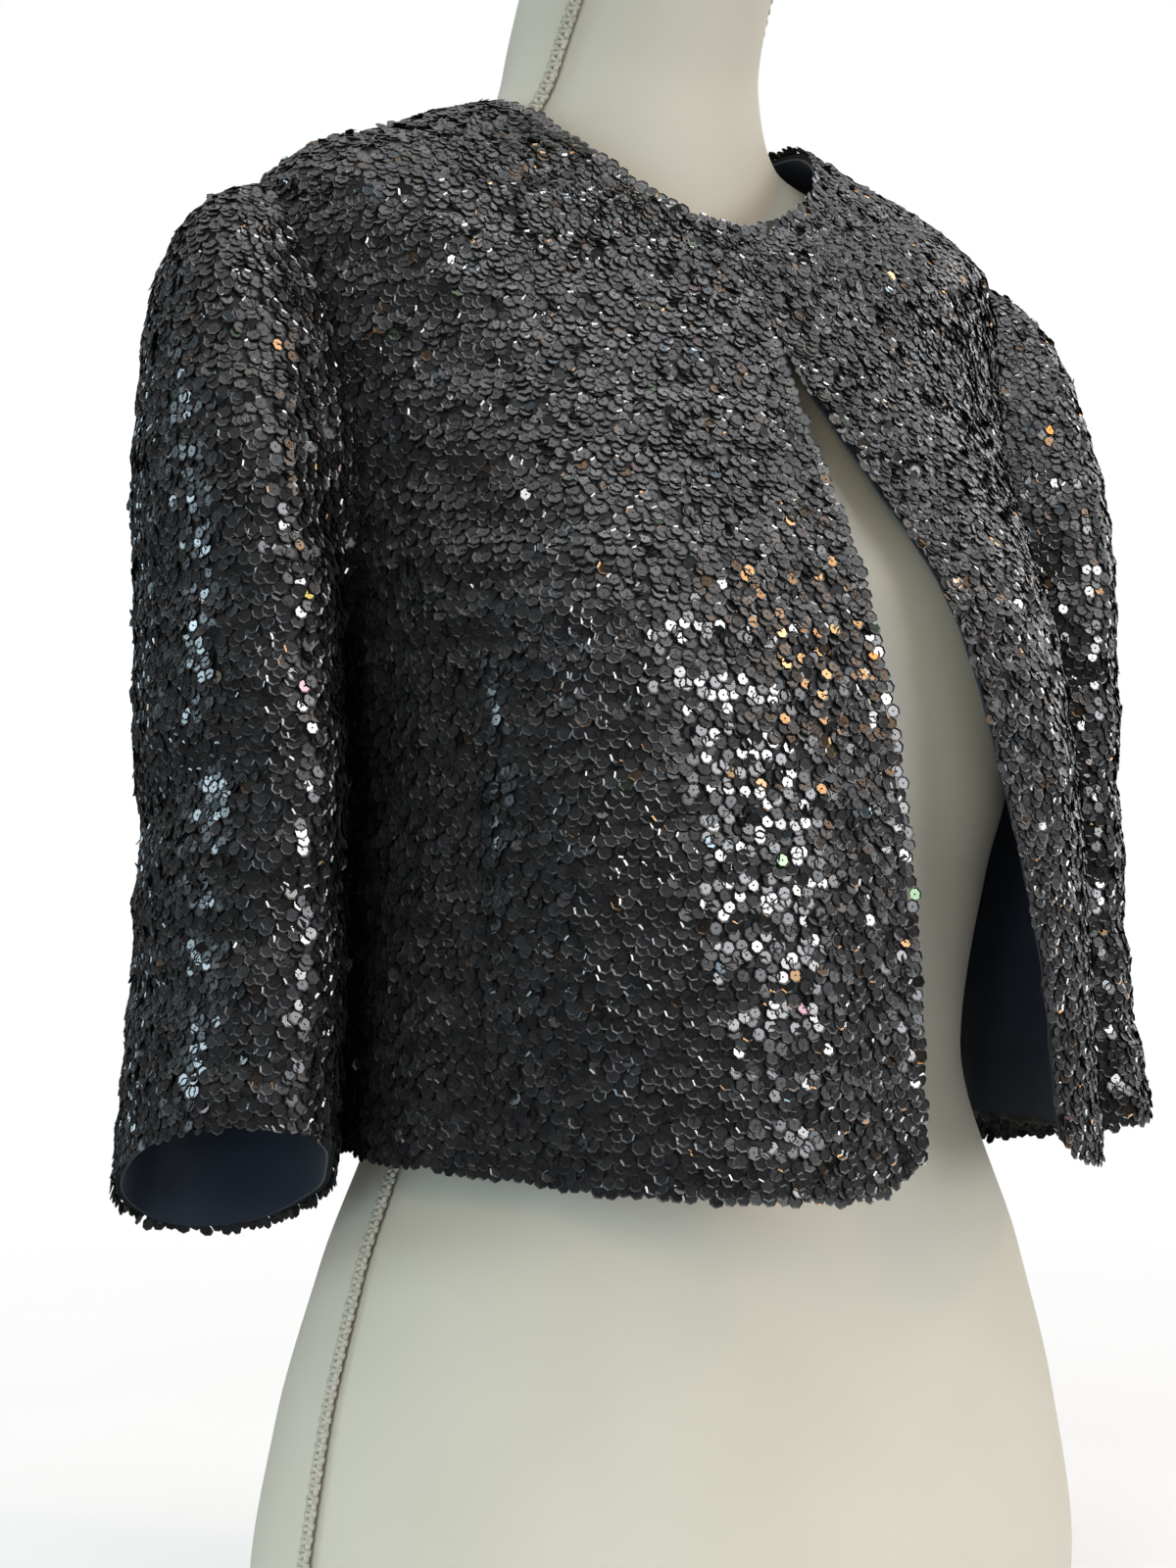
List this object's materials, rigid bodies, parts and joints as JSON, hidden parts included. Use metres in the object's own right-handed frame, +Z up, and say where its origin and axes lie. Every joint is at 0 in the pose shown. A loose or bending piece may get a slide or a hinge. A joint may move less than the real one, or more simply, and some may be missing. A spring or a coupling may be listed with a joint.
{
  "type": "cropped sequinned evening jacket on a limbless dress form",
  "caption": "Cropped collarless jacket of overlapping black sequins with elbow-length sleeves, hooked at the neck and hanging open on an ivory limbless dress form that stands on its flat base.",
  "frame": {"origin": "centre of the dress form's flat base, where the form's axis meets it", "axes": "+Z up; the form and the jacket's opening face -Y; the wearer's left is +X"},
  "size_m": [0.434, 0.27, 0.704],
  "materials": {
    "sequinned_cloth": "black fabric covered in overlapping glossy black cup sequins with scattered white, amber, green and pink glints",
    "lining": "smooth navy-black lining cloth with a faint sheen",
    "hook_wire": "black enamelled wire",
    "form_shell": "satin ivory shell",
    "braid": "plaited beige gimp braid"
  },
  "bodies": {
    "root": {"right_front": "sequinned_cloth", "left_front": "sequinned_cloth", "back": "sequinned_cloth", "right_sleeve": "sequinned_cloth", "left_sleeve": "sequinned_cloth", "right_front_lining": "lining", "left_front_lining": "lining", "back_lining": "lining", "right_sleeve_lining": "lining", "left_sleeve_lining": "lining", "neck_hook": "hook_wire", "neck_eye": "hook_wire", "dress_form": "form_shell", "hip_braid_right": "braid", "hip_braid_left": "braid", "neck_braid_right": "braid", "neck_braid_left": "braid"}
  },
  "joints": []
}
